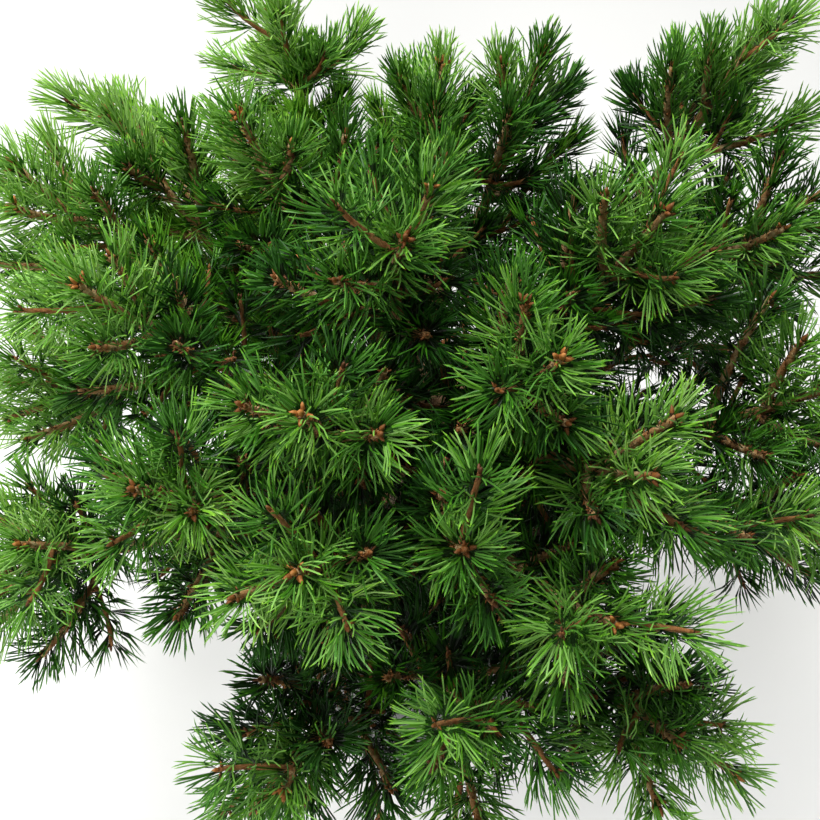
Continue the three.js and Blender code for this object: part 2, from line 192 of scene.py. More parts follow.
# Young needles on main shoots and on fine ones: how many bundles, and how far down they reach
YOUNG_NEEDLES = {"main": (34, 40 * MM), "fine": (22, 25 * MM)}
YOUNG_TIP_RADIUS = 1.3 * MM
HIDDEN_BUNDLES = 15
MOST_ZONE = 0.94
# Along their shoot, how the bundles lean, turn and vary
BUNDLE_DEPTHS = (0.1, 0.9)
SPREAD_POWER = 0.75
LEAN_JITTER = 7
SPIRAL_JITTER = 0.2
ROOT_DEPTH = 0.8
LIFT = 0.08
SHORT_AT_TIP = 0.2
BUNDLE_LENGTHS = (0.92, 1.04)
# Angles of the bundles from their shoot, at its tip and at the end of its needles: wide on the
# near side of the crown, and closer, like brushes, at the back
OPEN_ANGLES = (30, 78)
CLOSE_ANGLES = (12, 44)
CLOSE_BEYOND = 0.15
# Older needles, on the shaded stretches behind the young ones, painted darker as painted shade
OLD_BUNDLE_STEP = 2.4 * MM
OLD_LENGTH = 0.86 * NEEDLE_LENGTH
OLD_ANGLES = (52, 84)
OLD_PAINTED_SHADE = 0.1
OLD_SHOOT_FROM = 0.06
OLD_LEAST_STRETCH = 0.2
OLD_BOUGH_BETWEEN = (0.3, 0.98)
OLD_OPEN_SHOOT = 0.1
OLD_OPEN_BOUGH = 0.45
PIECE_TRIANGLES = 198000

# How shoots shade each other: how much of the light comes from above, how far ahead of a point
# other shoots start to count and over what rise, how far off they still count, and how strongly
SKYWARD = (0, 0, 0.6)
SHADE_FROM = 8 * MM
SHADE_RISE = 30 * MM
SHADE_REACH = 85 * MM
SHADE_STRENGTH = 0.55
# Painted light and shade on a shoot's needles: what its openness gives, and what its place adds
LEAST_LIGHT = -0.05
OPEN_LIGHT = 0.6
OPEN_POWER = 0.7
HEIGHT_LIGHT = 0.03
BACK_LIGHT = 0.24
CORNER_LIGHT = 0.5
CORNER_OPENS = 0.4
RIM_LIGHT = 0.15
LIGHT_JITTER = 0.09
SHADE_JITTER = 0.45
# Where the painted light of a place starts to grow, and over what distance it does
LOW_TO_HIGH = (0.2, 0.27)
FRONT_TO_BACK = (-0.24, 0.48)
RIGHT_TO_LEFT = (0.06, -0.22)
MIDDLE_TO_RIM = (0.12, 0.09)

# Buds: how vigorous they are, and for the most vigorous shoots how many lean round the leading
# one, with their least length in mm and what vigour adds to it
BUD_VIGOUR = {"stem": 1.0, "main": 0.66, "fine": 0.34}
LEAST_VIGOUR = 0.45
OPEN_VIGOUR = 0.75
SIDE_BUDS = 3.4
BUD_LENGTHS = (3, 3.8)
BUD_WIDTH_SHARE = 0.24
BUD_LEAN = (38, 68)
SIDE_BUD_SIZES = (0.62, 0.92)
BUD_TURNS = (-0.15, 0.15)
# In mm, how far the roots of leaning buds stand apart, and how deep buds sit
BUD_OUT = 1.4
BUD_SUNK = 0.6
# How far through the browns vigour takes a bud, and how much that varies; as vigour grows with
# openness, the brighter browns are partly painted light
BROWNING = 1.6
BROWN_JITTER = 0.5
# Height and width of each ring of a bud, as shares
BUD_RINGS = ((0, 0.55), (0.3, 1.0), (0.65, 0.72))
BUD_SIDES = 5
# Scales left by old buds: how many stand in a collar at a shoot's foot and how many along it,
# and where the collar starts and how long it is
SCALES = {"main": (12, 54), "fine": (4, 0)}
COLLAR = (3 * MM, 5 * MM)
SCALES_FROM = 0.2
SCALES_OVER = 0.77
SCALE_LENGTHS = (1.8 * MM, 3.3 * MM)
SCALE_HALF_WIDTH = 0.75 * MM
SCALE_WIDTHS = (0.7, 1.2)
SCALE_LEAN = (28, 66)
SCALE_ROOT = 0.75
# The bud materials that scales draw from
SCALE_LOOKS = (0, 1, 4, 4, 7, 8)
SCALE_FACES = ((0, 2, 1), (0, 1, 3), (1, 2, 3), (2, 0, 3))

# Pot details that only this script carries
POT_SIDES = 144
POT_SHARP = 34
BASE_RECESS = 2 * MM
# How far in from the foot the last points of the recess's flat lie, and its edge turns down
RECESS_INSETS = (22 * MM, 17 * MM)
RECESS_EDGE = 14 * MM
FOOT_ROUND = 2.5 * MM
WALL_BELOW_LEDGE = [height * MM for height in (12, 24, 40, 60, 80, 100, 120)]
WALL_OVER_LEDGE = [height * MM for height in (150, 162)]
LEDGE_HEIGHT = 138 * MM
LEDGE_STEP = 0.7 * MM
RIM_FILLET = 1.6 * MM
EDGE = 1 * MM
RIM_BAND = [height * MM for height in (4, 8, 11)]
# Inset and drop from the top of the rim
LIP_GROOVE = ((0.8 * MM, 5.6 * MM), (0.6 * MM, 4.6 * MM))
LIP_ROUND = 2 * MM
INNER_ROUND = 1.4 * MM
BURIED = 12 * MM
WALL_INSIDE = (POT_HEIGHT - 6 * MM, SOIL_LEVEL, SOIL_LEVEL - BURIED, 90 * MM)
FLOOR_ROUND = 3 * MM
FLOOR_RING = 40 * MM
# Size, lobes and start of the bows in a wall that is never quite round
BOWS = ((0.35 * MM, 2, 0.7), (0.12 * MM, 5, 2))
DRAINS = 8
DRAIN_WIDTH = 9 * MM
DRAIN_HEIGHT = 13 * MM
DRAIN_DEPTH = 8 * MM
BASE_HOLES = 4
BASE_HOLE_RADIUS = 5.5 * MM
BASE_HOLE_PLACE = 38 * MM
SOIL_SIDES = 110
SOIL_RINGS = 34
SOIL_SHARP = 60
SOIL_SUNK = 1.2 * MM
MOUND_HEIGHT = 5 * MM
MOUND_REACH = 26 * MM
WALL_DIP = 4 * MM
# From what share of the radius the soil dips to the wall, and over what share
DIP_GROWS = (0.8, 0.2)
# Height and fineness of the lumps
SOIL_LUMPS = ((2.4 * MM, 38), (1.3 * MM, 120), (0.6 * MM, 330))
# Count, size in mm and the materials of each kind of crumb on the soil
CRUMBS = ((210, (11, 7, 3.2), (0, 0, 1)), (380, (5, 3.6, 2.2), (0, 0, 1)),
          (360, (2.6, 2.2, 1.8), (0, 1, 2)))
CRUMB_SIZES = (0.6, 1.3)
CRUMB_BUMPS = (0.75, 1.15)
CRUMB_TILT = (0, 0.35)
CRUMB_RISE = 0.25
CRUMB_SPREAD = (0.03, 1)
CRUMBS_OFF_TRUNK = 19 * MM

# Camera: above the front, at the photograph's viewing angle, with the hub a little off its aim
CAMERA_RISE = radians(57)
CAMERA_DISTANCE = 820 * MM
AIM_RIGHT = -2.6 * MM
AIM_UP = 12.8 * MM
FRAME_PIXELS = 820
FOCAL_PIXELS = 1602

# Shape, place, aim, width and depth, power and spread of each lamp. The low strip lightens the
# crown's shadow on the floor in front of the pot
LAMPS = {
    "overhead": ("DISK", (-0.35, 0.5, 1.85), HUB, (1.1, 1.1), 44, 180),
    "front": ("DISK", (-1.3, -1.5, 0.9), HUB, (1.4, 1.4), 22, 180),
    "left": ("DISK", (-1.5, 0.35, 1.1), HUB, (0.9, 0.9), 9, 180),
    "strip": ("RECTANGLE", (0.4, -1.3, 0.42), (0.34, -0.12, 0), (1.3, 0.14), 3.2, 24),
}
STUDIO_GLOW = 0.3
FLOOR_HALF = 4


# Seeded draws

WORD = 0xFFFFFFFF


def seeded(seed):
    """A repeatable stream of numbers from 0 to 1, the same as the part's source draws."""
    state = seed

    def draw():
        nonlocal state
        state = (state + 0x6D2B79F5) & WORD
        mixed = ((state ^ (state >> 15)) * (state | 1)) & WORD
        mixed ^= (mixed + (((mixed ^ (mixed >> 7)) * (mixed | 61)) & WORD)) & WORD
        return (mixed ^ (mixed >> 14)) / (WORD + 1)

    return draw


def jitter(draw, spread):
    return spread * (draw() - 0.5)


def limited(value, low=0):
    return min(1, max(low, value))


# Paths of the limbs and shoots

class Path:
    """A quadratic curve through space."""

    def __init__(self, start, bend, end):
        self.start, self.bend, self.end = Vector(start), Vector(bend), Vector(end)

    def blend(self, low, high):
        return ((1 - low) * (1 - high) * self.start
                + ((1 - low) * high + low * (1 - high)) * self.bend + low * high * self.end)

    def point(self, share):
        return self.blend(share, share)

    def points(self, steps):
        return [self.point(i / steps) for i in range(steps + 1)]

    def length(self, steps=FINE_STEPS):
        points = self.points(steps)
        return sum((b - a).length for a, b in zip(points, points[1:]))

    def tangent(self, share):
        return ((1 - share) * (self.bend - self.start)
                + share * (self.end - self.bend)).normalized()

    def stretch(self, low, high):
        return Path(self.point(low), self.blend(low, high), self.point(high))

    def across(self, share):
        """Two directions across the path, steady along it."""
        tangent = self.tangent(share)
        steep = abs((self.end - self.start).normalized().z) >= STEEP
        guide = Vector((1, 0, 0)) if steep else UP
        side = guide.cross(tangent).normalized()
        return side, tangent.cross(side)

    def leaning(self, share, angle, turn):
        """A direction at an angle from the tangent and a turn round it."""
        side, other = self.across(share)
        return (cos(angle) * self.tangent(share) + sin(angle) * cos(turn) * side
                + sin(angle) * sin(turn) * other)


def crown_point(azimuth, rise, reach):
    azimuth, rise, reach = radians(azimuth), radians(rise), reach * MM
    level = reach * cos(rise)
    return HUB + Vector((level * cos(azimuth), level * sin(azimuth), reach * sin(rise)))


def limb_path(start, end):
    run = end - start
    bend = start + Vector((BEND_OUT * run.x, BEND_OUT * run.y,
                           BEND_UP * run.z - SAG * run.length))
    return Path(start, bend, end)


def taper(thick, thin):
    return lambda share: thick + (thin - thick) * share


def trunk_radius(share):
    return taper(TRUNK_RADIUS, TRUNK_TIP_RADIUS)(share) + ROOT_FLARE * exp(-FLARE_FADE * share)


def plan_limbs():
    """The trunk and boughs, and the stem that carries each of them on into its mass."""
    foot = SOIL_LEVEL + CLEARANCE
    trunk = Path((*TRUNK_FOOT, foot), (*TRUNK_FOOT, foot + TRUNK_HEIGHT / 2),
                 (*TRUNK_TIP, foot + TRUNK_HEIGHT))
    onward = trunk.tangent(1)
    start, end = trunk.end + onward * CLEARANCE, crown_point(*TOP_LEADER)
    stem = Path(start, start + onward * (end - start).length / 2, end)
    limbs = [{"name": "top", "path": trunk, "radius": trunk_radius, "steps": TRUNK_STEPS,
              "stem": stem}]
    wholes = {}
    for name, azimuth, rise, reach, origin in BOUGHS:
        if isinstance(origin, tuple):
            start, radius = wholes[origin[0]].point(origin[1]), FORK_RADIUS
        else:
            start, radius = trunk.point(origin * MM / TRUNK_HEIGHT), BOUGH_RADIUS
        whole = wholes[name] = limb_path(start, crown_point(azimuth, rise, reach))
        length = whole.length(BOUGH_LENGTH_STEPS)
        end = 1 - MASS_LENGTH / length
        limbs.append({"name": name, "path": whole.stretch(0, end), "steps": BOUGH_STEPS,
                      "radius": taper(radius, BOUGH_TIP_RADIUS),
                      "stem": whole.stretch(end + CLEARANCE / length, 1)})
    return limbs


# Space tests

def gap_between(a, b, c, d):
    """The least distance between the stretches a to b and c to d."""
    u, v, w = b - a, d - c, a - c
    uu, uv, vv, uw, vw = u.dot(u), u.dot(v), v.dot(v), u.dot(w), v.dot(w)
    flat = uu * vv - uv * uv
    s = limited((uv * vw - vv * uw) / flat) if flat > PARALLEL else 0
    t = limited((uv * s + vw) / vv)
    s = limited((uv * t - uw) / uu)
    return (w + u * s - v * t).length


def limb_test(limbs):
    """Whether a stretch is clear of the pot and every limb."""
    sampled = []
    for limb in limbs:
        steps = limb["steps"]
        corners = limb["path"].points(steps)
        sampled += [(limb["radius"](i / steps), *corners[i:i + 2]) for i in range(steps)]

    def is_clear(low, high, radius):
        margin = radius + SPACE_MARGIN
        if (high.z <= POT_HEIGHT + RIM_MARGIN + margin
                and hypot(high.x, high.y) <= POT_TOP_RADIUS + RIM_MARGIN + margin):
            return False
        margin = radius + LIMB_MARGIN
        return all(gap_between(low, high, start, end) >= thick + margin
                   for thick, start, end in sampled)

    return is_clear


def space_test(own, others, is_clear):
    """Whether a stretch is clear, and nearer to the middle of its own mass than to any other."""
    borders = [((other - own).normalized(), (other - own).length / 2) for other in others]

    def is_free(low, high, radius):
        margin = radius + SPACE_MARGIN
        return (all((point - own).dot(way) < border - margin
                    for point in (low, high) for way, border in borders)
                and is_clear(low, high, radius))

    return is_free


# Shoots

def side_path(stem, share, angle, turn, length, radius, is_free):
    """A path off a stem, shortened until it is free."""
    start = stem.point(share)
    first = stem.leaning(share, angle, turn)
    outward = (start - HUB).normalized()
    last = (first + UP * RISE_PULL + outward * OUTWARD_PULL).normalized()
    for i in range(SHORTEN_TRIES):
        reach = length * SHORTEN ** i
        bend = start + first * reach / 2
        path = Path(start, bend, bend + last * reach / 2)
        low, middle, high = [path.point(tested) for tested in TESTED_SHARES]
        if is_free(low, middle, radius) and is_free(middle, high, radius):
            return path
    return None


def side_shoots(name, stem, index, is_free):
    """A mass's side shoots, by the same draws as the part's source."""
    draw = seeded(SEED + SEED_STEP * index)
    side_share = SIDE_SHARES.get(name, 1)
    paths = []
    turn = tau * draw()
    for at, count, length, angle in WHORLS:
        for _ in range(count):
            turn += (tau / count) * (1 + jitter(draw, TURN_JITTER))
            share = at + jitter(draw, WHORL_JITTER)
            lean = radians(angle + jitter(draw, ANGLE_JITTER))
            reach = side_share * length * (1 + jitter(draw, LENGTH_JITTER))
            paths.append(side_path(stem, share, lean, turn, reach, CORE_RADIUS, is_free))
        turn += pi / count
    return [path for path in paths if path]


class Room:
    """The places that needles have taken, which finer twigs keep away from."""

    # The least gaps of a tip taken, and of the middle of its needles, from a new tip and middle
    GAPS = np.array(((TIP_GAP, ZONE_GAP), (ZONE_GAP, ZONE_GAP)))

    def __init__(self):
        self.taken = []

    @staticmethod
    def places(path):
        middle = path.point(1 - min(0.5, ZONE_DEPTH / path.length(ROUGH_STEPS)))
        return tuple(path.end), tuple(middle)

    def take(self, path):
        self.taken.append(self.places(path))

    def has_room(self, path):
        between = np.array(self.taken)[:, :, None] - np.array(self.places(path))
        inside = (path.end - HUB).length < INNER_REACH
        least = self.GAPS * (INNER_GAP_SHARE if inside else 1)
        return (np.sqrt((between ** 2).sum(3)).min(0) > least).all()


def finer_twigs(parents, rule, draw, is_free, room):
    """Twigs on the parents, wherever there is space and room."""
    shares, tries, length, angle = rule
    grown = []
    for parent, share in itertools.product(parents, shares):
        turn = tau * draw()
        for _ in range(tries):
            turn += (tau / tries) * (1 + jitter(draw, TURN_JITTER))
            lean = radians(angle + jitter(draw, ANGLE_JITTER))
            reach = length * (1 + jitter(draw, TWIG_LENGTH_JITTER))
            path = side_path(parent, share, lean, turn, reach, FINE_RADIUS, is_free)
            if path and room.has_room(path):
                room.take(path)
                grown.append(path)
    return grown


def plan_crown(limbs):
    """A mass of shoots at the end of each bough, and last the one on the trunk's tip."""
    trunk, *boughs = limbs
    masses = [{**bough, "boughs": [bough["path"]]} for bough in boughs]
    masses.append({**trunk, "boughs": []})
    middles = [mass["stem"].point(MIDDLE_SHARE) for mass in masses]
    room = Room()
    clear = limb_test(limbs)
    for index, mass in enumerate(masses):
        others = middles[:index] + middles[index + 1:]
        free = mass["free"] = space_test(middles[index], others, clear)
        mass["draw"] = seeded(FINE_SEED + SEED_STEP * index)
        mass["main"] = [mass["stem"], *side_shoots(mass["name"], mass["stem"], index, free)]
        for path in mass["main"]:
            room.take(path)
    for mass in masses:
        grow = (mass["draw"], mass["free"], room)
        mass["fine"] = finer_twigs(mass["main"][:1], STEM_TWIGS, *grow)
        mass["fine"] += finer_twigs(mass["main"][1:], SIDE_TWIGS, *grow)
    for parents, rule in (("boughs", BOUGH_TWIGS), ("fine", LAST_TWIGS)):
        for mass in masses:
            mass["fine"] += finer_twigs(mass[parents], rule, mass["draw"], clear, room)
    return masses


# Meshes from arrays

def placed(name, data):
    item = bpy.data.objects.new(name, data)
    bpy.context.scene.collection.objects.link(item)
    return item


def ride(piece, slot, nodes):
    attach(piece, "root")
    if nodes:
        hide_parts(*nodes)


class Batch:
    """Points, triangles and material numbers for one joined piece."""

    def __init__(self):
        self.parts = []
        self.count = 0

    def add(self, points, faces, kinds):
        points = np.asarray(points, np.float32).reshape(-1, 3)
        faces = np.asarray(faces, np.int32).reshape(-1, 3) + self.count
        kinds = np.broadcast_to(np.asarray(kinds, np.int32).ravel(), len(faces))
        self.parts.append((points, faces, kinds))
        self.count += len(points)

    def joined(self):
        return [np.concatenate(rows) for rows in zip(*self.parts)]

    def triangles(self):
        return sum(len(faces) for _, faces, _ in self.parts)

    def build(self, name, materials, smooth, slot, *nodes):
        points, faces, kinds = self.joined()
        mesh = bpy.data.meshes.new(name)
        starts = np.arange(0, faces.size, 3, dtype=np.int32)
        for rows, key, values in ((mesh.vertices, "co", points),
                                  (mesh.loops, "vertex_index", faces.ravel()),
                                  (mesh.polygons, "loop_start", starts)):
            rows.add(len(values))
            rows.foreach_set(key, values.ravel())
        mesh.polygons.foreach_set("material_index", kinds)
        mesh.polygons.foreach_set("use_smooth", np.full(len(faces), smooth))
        mesh.update()
        mesh.validate()
        for material in materials:
            mesh.materials.append(material)
        ride(placed(name, mesh), slot, nodes)


# Needles

def unit(rows):
    return rows / np.linalg.norm(rows, axis=1, keepdims=True)


def needle_points(sites, needle, rng):
    """Points of every needle: one at its root, three at each ring, and one at its tip."""
    roots, axes, tangents, lengths = sites
    half_width, _, rings = needle
    column = (len(roots), 1)
    side = unit(np.cross(axes, tangents))
    other = np.cross(axes, side)
    start_turn = rng.uniform(0, tau, column)
    shared = rng.normal(*CURL_ALONG, column) * tangents
    shared += rng.normal(0, CURL_SIDEWAYS, column) * side
    blocks = []
    for k in range(BUNDLE_OF):
        turn = start_turn + tau * k / BUNDLE_OF + rng.normal(0, BUNDLE_TURN_JITTER, column)
        lean = np.radians(np.abs(rng.normal(*BUNDLE_SPREAD, column)))
        outer = np.cos(turn) * side + np.sin(turn) * other
        first = unit(np.cos(lean) * axes + np.sin(lean) * outer)
        flat = unit(np.cross(first, outer))
        outer = np.cross(flat, first)
        curl = (shared + rng.normal(*CURL_OUT, column) * outer
                + rng.normal(0, CURL_LOOSE, column) * flat)
        length = lengths[:, None] * rng.uniform(*NEEDLE_LENGTHS, column)
        points = [roots]
        centre, reached = roots, 0
        for share, curled in rings:
            centre = centre + unit(first + curled * curl) * length * (share - reached)
            reached = share
            if share < 1:
                spins = [radians(60 + 120 * j) for j in range(3)]
                points += [centre + half_width * (cos(spin) * outer + sin(spin) * flat)
                           for spin in spins]
        blocks.append(np.stack(points + [centre], axis=1))
    return np.concatenate(blocks)


ROOT_PART, OUTER_PART, INNER_PART, TIP_PART = range(4)


def needle_faces(count, needle):
    """Triangles of each needle, and which part of it each one is."""
    faces, parts = [], []
    _, _, rings = needle
    tip = 3 * (len(rings) - 1) + 1
    for j in range(3):
        low, high = 1 + j, 1 + (j + 1) % 3
        faces.append((0, high, low))
        for _ in rings[2:]:
            faces += [(low, high, high + 3), (low, high + 3, low + 3)]
            low, high = low + 3, high + 3
        faces.append((low, high, tip))
        body = OUTER_PART if j == 2 else INNER_PART
        parts += [ROOT_PART] + [body, body] * (len(rings) - 2) + [TIP_PART]
    offsets = (tip + 1) * np.arange(count, dtype=np.int32)[:, None, None]
    return np.array(faces, np.int32) + offsets, np.array(parts)


def bundle_sites(path, radius, zone, count, length, rng, angles):
    """Where bundles root and point, in a spiral down from a shoot's bud."""
    zone = min(zone / path.length(), MOST_ZONE)
    sites = []
    turn = rng.uniform(0, tau)
    for i in range(count):
        depth = (i + rng.uniform(*BUNDLE_DEPTHS)) / count
        share = 1 - zone * depth
        spread = angles[0] + (angles[1] - angles[0]) * depth ** SPREAD_POWER
        lean = radians(spread + rng.normal(0, LEAN_JITTER))
        turn += GOLDEN + rng.normal(0, SPIRAL_JITTER)
        out = path.leaning(share, pi / 2, turn)
        axis = path.leaning(share, lean, turn) + UP * LIFT
        fullness = 1 - SHORT_AT_TIP + SHORT_AT_TIP * min(1, depth * 4)
        sites.append((path.point(share) + out * radius(share) * ROOT_DEPTH, axis.normalized(),
                      path.tangent(share), length * fullness * rng.uniform(*BUNDLE_LENGTHS)))
    return [np.array(rows) for rows in zip(*sites)]


# Looks

# Darkest to brightest, dealt out as painted light and shade: the dark greens for needles deep in
# shade, the bright ones for lit needles outside. Each needle's root is darker than its body, as
# painted shade in the bundle's core, and its tip a shade brighter; its two inner faces carry the
# whitish lines that give them a paler, bluer green.
OUTER_GREENS = ((7, 23, 2), (11, 38, 3), (24, 67, 6), (48, 103, 13), (84, 142, 29),
                (120, 175, 49), (150, 197, 74))
INNER_GREENS = ((12, 33, 7), (18, 49, 9), (38, 84, 21), (71, 123, 40), (112, 161, 69),
                (141, 184, 94), (161, 199, 114))
BRIGHTEST_BODY = len(OUTER_GREENS) - 3
# Foot, body and tip of a bud, from the weakest shoots to the most vigorous: the brighter browns
# go to vigorous, open shoots, partly their paler buds and partly painted light
BUD_BROWNS = (((48, 28, 14), (98, 58, 28), (88, 52, 26)),
              ((60, 36, 18), (132, 80, 36), (120, 74, 34)),
              ((72, 40, 18), (152, 94, 40), (170, 112, 54)))


def srgb(red, green, blue):
    """An 8-bit display colour as linear light."""
    return tuple(((c / 255 + 0.055) / 1.055) ** 2.4 if c > 10 else c / 3294.6
                 for c in (red, green, blue))


def grey(light):
    return (light, light, light)


# Patches of colour, how strongly specks darken them, and how fine the grain is
BARKS = {
    "twig_bark": (((0.3, srgb(144, 86, 44)), (0.5, srgb(176, 136, 86)),
                   (0.7, srgb(214, 190, 142))), 0.4, 220),
    "fine_twig_bark": (((0.3, srgb(142, 80, 38)), (0.7, srgb(180, 134, 82))), 0.4, 260),
    "old_bark": (((0.3, srgb(84, 70, 56)), (0.5, srgb(128, 110, 90)),
                  (0.7, srgb(164, 148, 126))), 0.8, 110),
    "bough_bark": (((0.3, srgb(104, 76, 50)), (0.5, srgb(148, 116, 82)),
                    (0.7, srgb(184, 154, 118))), 0.7, 180),
}
SOIL_BROWNS = ((0.35, srgb(34, 24, 17)), (0.52, srgb(62, 44, 30)), (0.68, srgb(96, 72, 50)))
CHIPS = {
    "dark_bark_chip": ((0.3, srgb(48, 30, 20)), (0.7, srgb(98, 66, 42))),
    "pale_bark_chip": ((0.3, srgb(104, 74, 48)), (0.7, srgb(164, 124, 84))),
    "pale_grit": ((0.3, srgb(150, 144, 132)), (0.7, srgb(206, 202, 192))),
}


def plain_material(name, colour, roughness, specular):
    """One even colour, for pieces whose colours are dealt out by spray."""
    material = bpy.data.materials.new(name)
    material.use_nodes = True
    shader = material.node_tree.nodes["Principled BSDF"]
    shader.inputs["Base Color"].default_value = (*srgb(*colour), 1)
    shader.inputs["Roughness"].default_value = roughness
    shader.inputs["Specular IOR Level"].default_value = specular
    return material


def needle_materials():
    return [plain_material(f"needle_{face}_{i}", green, roughness, specular=0.3)
            for face, greens, roughness in (("outer", OUTER_GREENS, 0.45),
                                            ("inner", INNER_GREENS, 0.55))
            for i, green in enumerate(greens)]


def needle_kinds(shades, parts, painted_root_shade):
    # The body takes the shoot's painted light; the root is painted darker, as painted shade in
    # the bundle's core, and the tip a shade brighter
    shade = shades[:, None] + 1
    inner = len(OUTER_GREENS) + shade
    return np.select([parts == ROOT_PART, parts == OUTER_PART, parts == INNER_PART],
                     [np.maximum(shade - painted_root_shade, 0), shade, inner], shade + 1)


class Graph:
    """Short ways to build a material's nodes."""

    def __init__(self, name):
        self.material = bpy.data.materials.new(name)
        self.material.use_nodes = True
        self.tree = self.material.node_tree
        self.place = self.node("TexCoord", "Object", {})

    def feed(self, node, inputs):
        """Links each named input to an output, or sets it to a value."""
        for name, value in inputs.items():
            if isinstance(value, bpy.types.NodeSocket):
                self.tree.links.new(value, node.inputs[name])
            else:
                node.inputs[name].default_value = value

    def node(self, kind, output, inputs, **settings):
        node = self.tree.nodes.new("ShaderNode" + kind)
        for name, value in settings.items():
            setattr(node, name, value)
        self.feed(node, inputs)
        return node.outputs[output]

    def noise(self, scale, detail=3, roughness=0.55, stretch=None):
        place = self.place
        if stretch:
            place = self.node("Mapping", "Vector", {"Scale": stretch, "Vector": place})
        return self.node("TexNoise", "Fac", {"Scale": scale, "Detail": detail,
                                             "Roughness": roughness, "Vector": place})

    def ramp(self, factor, *stops):
        node = self.tree.nodes.new("ShaderNodeValToRGB")
        self.feed(node, {"Fac": factor})
        elements = node.color_ramp.elements
        while len(elements) < len(stops):
            elements.new(0.5)
        for element, (at, colour) in zip(elements, stops):
            element.position = at
            element.color = (*colour, 1)
        return node.outputs["Color"]

    def mix(self, factor, first, second, blend="MULTIPLY"):
        return self.node("Mix", "Result", {"Factor": factor, "A": first, "B": second},
                         data_type="RGBA", blend_type=blend)

    def finished(self, colour, roughness, bump=None, specular=0.5):
        """The material, with a pattern that roughens it and one that raises it."""
        pattern, low, high = roughness
        rough = self.node("MapRange", "Result", {"To Min": low, "To Max": high, "Value": pattern})
        looks = {"Base Color": colour, "Roughness": rough, "Specular IOR Level": specular}
        if bump:
            pattern, distance = bump
            looks["Normal"] = self.node("Bump", "Normal", {"Distance": distance,
                                                           "Height": pattern})
        self.feed(self.tree.nodes["Principled BSDF"], looks)
        return self.material


def bark_material(name):
    """Patches of colour, with darker cracks between small plates."""
    stops, speck, grain = BARKS[name]
    graph = Graph(name)
    patches = graph.ramp(graph.noise(grain, 4), *stops)
    specks = graph.ramp(graph.noise(grain * 7, 2), (0.42, grey(0.5)), (0.6, grey(1)))
    plates = graph.node("TexVoronoi", "Distance", {"Scale": grain * 4, "Vector": graph.place},
                        feature="DISTANCE_TO_EDGE")
    cracks = graph.ramp(plates, (0, (0.4, 0.38, 0.36)), (0.16, grey(1)))
    return graph.finished(graph.mix(0.45, graph.mix(speck, patches, specks), cracks),
                          (graph.noise(grain * 3), 0.72, 0.95),
                          (graph.noise(grain * 6, 5, 0.65), 0.6 * MM), 0.3)


def pot_material():
    """Black plastic with dried splashes and dust, thickest at the foot."""
    graph = Graph("black_plastic")
    plastic = graph.ramp(graph.noise(14, 5, 0.6), (0.35, (0.012, 0.012, 0.013)),
                         (0.7, grey(0.022)))
    dust = graph.ramp(graph.noise(30, 6, 0.7), (0.3, (0.03, 0.027, 0.023)),
                      (0.7, (0.085, 0.076, 0.064)))
    height = graph.node("SeparateXYZ", "Z", {"Vector": graph.place})
    height = graph.node("MapRange", "Result", {"From Max": POT_HEIGHT, "Value": height})
    foot = graph.ramp(height, (0, grey(0.75)), (0.16, grey(0.2)), (0.8, grey(0.12)),
                      (0.97, grey(0.4)))
    splash = graph.ramp(graph.noise(85, 4, 0.7), (0.42, grey(0)), (0.66, grey(1)))
    return graph.finished(graph.mix(graph.mix(1.0, foot, splash), plastic, dust, "MIX"),
                          (graph.noise(24, 4), 0.34, 0.62), (graph.noise(900, 2), 0.05 * MM))


def soil_material():
    graph = Graph("potting_mix")
    earth = graph.ramp(graph.noise(120, 6, 0.7), *SOIL_BROWNS)
    return graph.finished(earth, (graph.noise(200), 0.85, 1.0),
                          (graph.noise(420, 6, 0.7), 2 * MM))


def chip_material(name):
    graph = Graph(name)
    return graph.finished(graph.ramp(graph.noise(300, 4, 0.6, (1, 1, 3)), *CHIPS[name]),
                          (graph.noise(160), 0.75, 0.95), (graph.noise(700, 3), 0.4 * MM))


def floor_material():
    graph = Graph("pale_floor")
    pale = graph.ramp(graph.noise(1.4, 3), (0.3, (0.59, 0.59, 0.57)), (0.7, (0.62, 0.62, 0.61)))
    return graph.finished(pale, (graph.noise(3), 0.45, 0.6))


# Shapes of twigs and buds

def ring_faces(rings, sides):
    faces = []
    for i in range(rings - 1):
        for j in range(sides):
            a, b = i * sides + j, i * sides + (j + 1) % sides
            faces += [(a, b, b + sides), (a, b + sides, a + sides)]
    return faces


def bumps(spot, layers, shift=Vector()):
    return sum(height * noise(spot * grain + shift) for height, grain in layers)


def twig_relief(spot, share, turn, shift):
    """Scars of fallen bundles: a rough, knobbly skin."""
    return bumps(spot, TWIG_BUMPS, shift) + max(0, bumps(spot, TWIG_KNOBS, shift))


def bough_relief(spot, share, turn, shift):
    """Low plates, with a knob here and there where a twig was shed."""
    height, grain, least = BOUGH_KNOBS
    return (bumps(spot, BOUGH_BUMPS, shift)
            + height * max(0, noise(spot * grain + shift) - least))


def trunk_relief(spot, share, turn, shift):
    """Plates split by upright fissures, with root swellings at the foot."""
    height, grain, fissure = TRUNK_PLATES
    plates = abs(noise(spot * Vector(grain))) - fissure
    root, count, start = ROOT_SWELLINGS
    foot = exp(-FLARE_FADE * share) * root * cos(count * turn + start)
    return height * plates + bumps(spot, TRUNK_BUMPS) + foot


# Sides, the step between rings, and the relief of each kind of limb
TUBES = {"trunk": (26, 2 * MM, trunk_relief), "bough": (12, 1.7 * MM, bough_relief),
         "main": (8, 2 * MM, twig_relief), "fine": (5, 3 * MM, twig_relief)}


